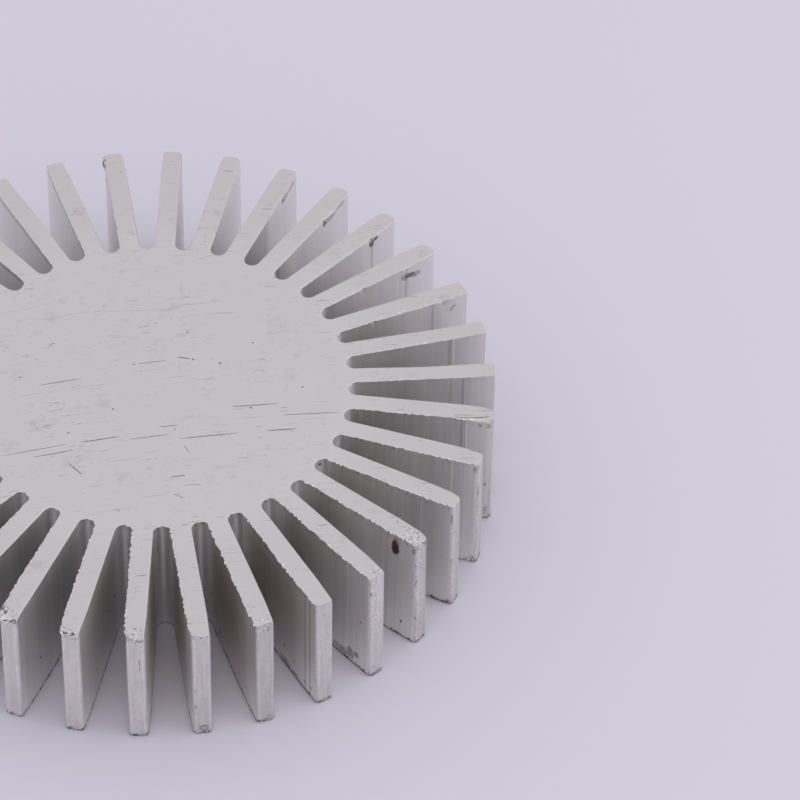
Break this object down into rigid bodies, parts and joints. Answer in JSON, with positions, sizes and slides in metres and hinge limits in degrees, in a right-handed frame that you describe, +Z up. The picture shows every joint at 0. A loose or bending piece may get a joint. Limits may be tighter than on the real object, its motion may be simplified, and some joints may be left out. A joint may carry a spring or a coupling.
{
  "type": "sunflower heat sink",
  "caption": "Round sunflower heat sink sawn from an aluminium extrusion: a solid core with straight radial fins and round-bottomed air slots, for cooling an LED board or power module.",
  "frame": {"origin": "centre of the bottom face, on the axis of the extrusion", "axes": "+Z up along the extrusion, from the bottom face to the top face; one fin lies along +X"},
  "size_m": [0.1, 0.0998, 0.021],
  "materials": {
    "aluminium": "bare: sawn end faces, extruded walls with fine upright lines"
  },
  "bodies": {
    "root": {"heat_sink": "aluminium"}
  },
  "joints": []
}
